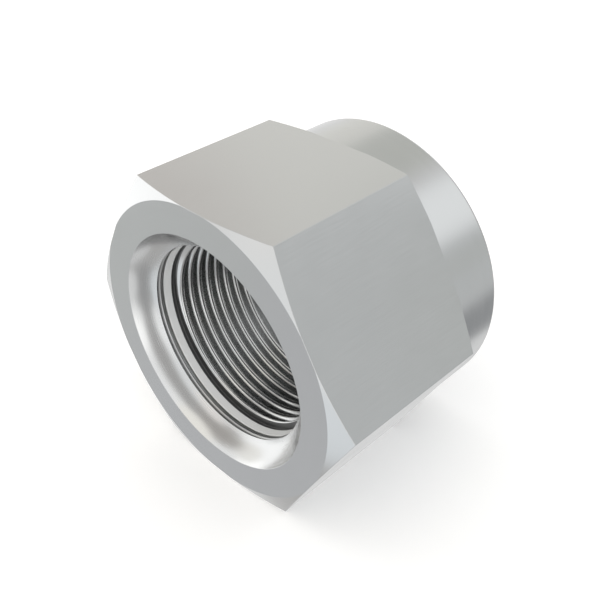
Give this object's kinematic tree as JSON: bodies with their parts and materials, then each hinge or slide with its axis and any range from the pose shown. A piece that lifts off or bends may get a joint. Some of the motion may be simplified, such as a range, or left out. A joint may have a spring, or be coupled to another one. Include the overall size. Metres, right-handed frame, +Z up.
{
  "type": "hex lock nut",
  "caption": "Tall steel hexagon nut with chamfered corners, a plain round collar behind the hexagon, and a threaded bore behind a hollowed, countersunk mouth.",
  "frame": {"origin": "on the surface the nut lies on, under its axis, at the middle of its length", "axes": "+Y along the nut's axis from the countersunk mouth to the collar, +Z up, square to the flat it lies on, +X across the corners"},
  "size_m": [0.0384, 0.0266, 0.0333],
  "materials": {
    "steel": "fine turned and milled bare steel, satin"
  },
  "bodies": {
    "root": {"lock_nut": "steel"}
  },
  "joints": []
}
